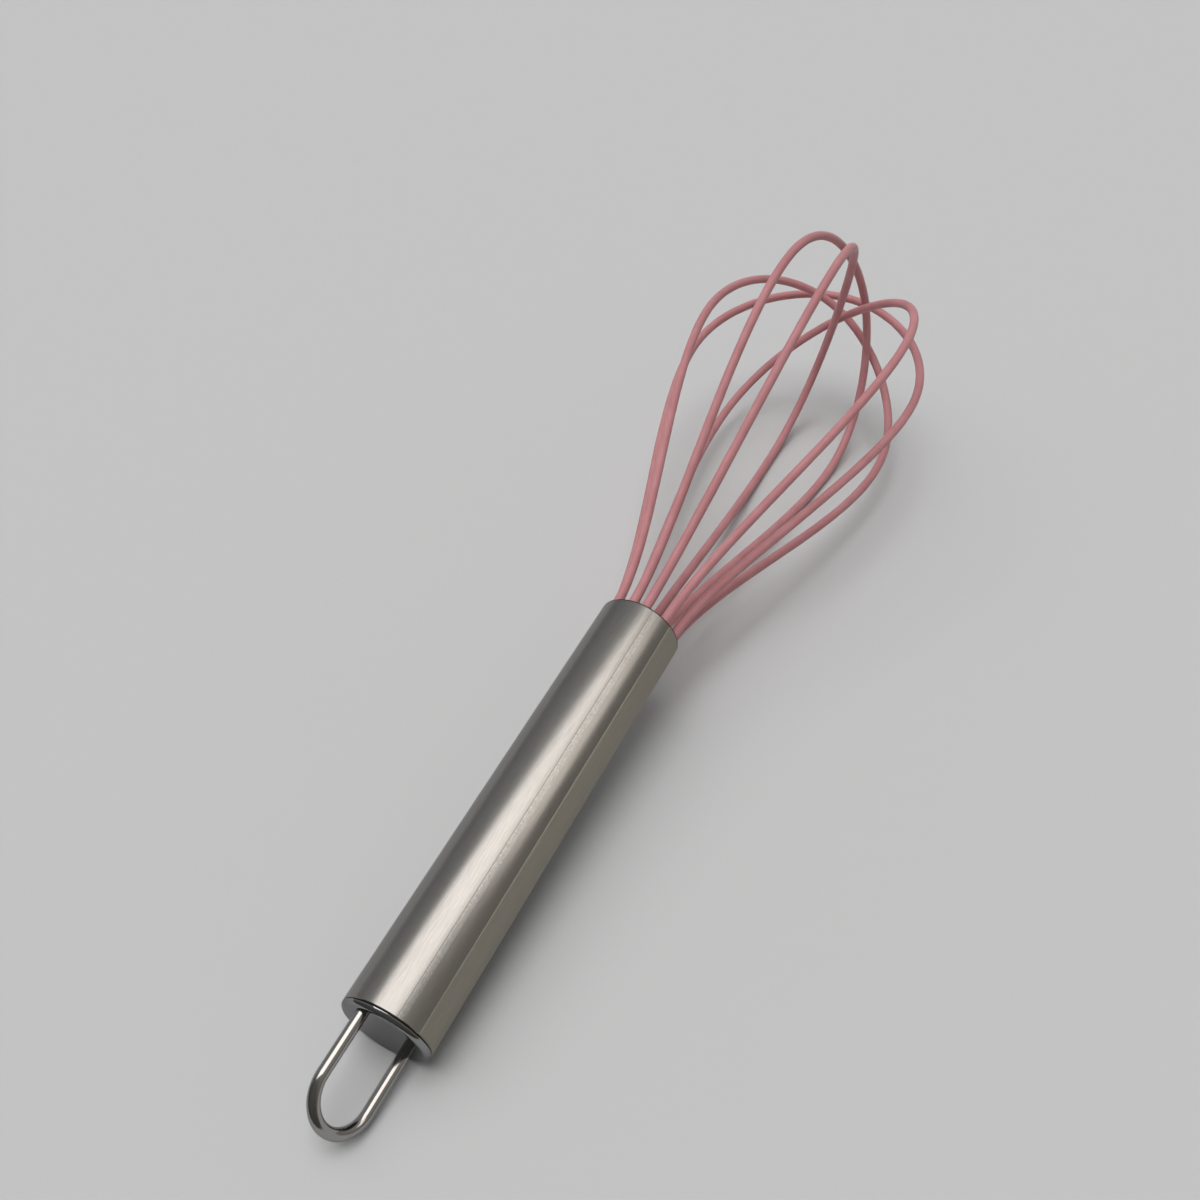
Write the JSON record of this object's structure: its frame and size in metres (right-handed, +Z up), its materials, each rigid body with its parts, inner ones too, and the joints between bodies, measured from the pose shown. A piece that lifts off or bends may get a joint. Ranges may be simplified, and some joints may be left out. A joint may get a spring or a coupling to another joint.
{
  "type": "balloon whisk",
  "caption": "Hand balloon whisk with silicone-coated wire loops, a brushed steel tube handle, a polished end cap and a hanging loop; it lies on its side.",
  "frame": {"origin": "on the surface that the whisk lies on, under the middle of its bounding box", "axes": "+X from the hanging loop towards the tip of the balloon, +Z up, +Y to the left when looking from the handle to the tip"},
  "size_m": [0.2966, 0.0728, 0.079],
  "materials": {
    "tube_steel": "satin stainless steel, brushed along the tube",
    "cap_steel": "stamped stainless steel, polished",
    "loop_steel": "bright drawn stainless rod",
    "plug_nylon": "moulded nylon",
    "seal_resin": "cast epoxy",
    "pink_silicone": "matt moulded silicone, dusty pink",
    "core_steel": "drawn spring steel wire"
  },
  "bodies": {
    "root": {"handle_tube": "tube_steel", "end_cap": "cap_steel", "hang_loop": "loop_steel", "wire_plug": "plug_nylon", "resin_seal": "seal_resin", "silicone_coat_a": "pink_silicone", "silicone_coat_b": "pink_silicone", "silicone_coat_c": "pink_silicone", "silicone_coat_d": "pink_silicone", "silicone_coat_e": "pink_silicone", "steel_core_a": "core_steel", "steel_core_b": "core_steel", "steel_core_c": "core_steel", "steel_core_d": "core_steel", "steel_core_e": "core_steel"}
  },
  "joints": []
}
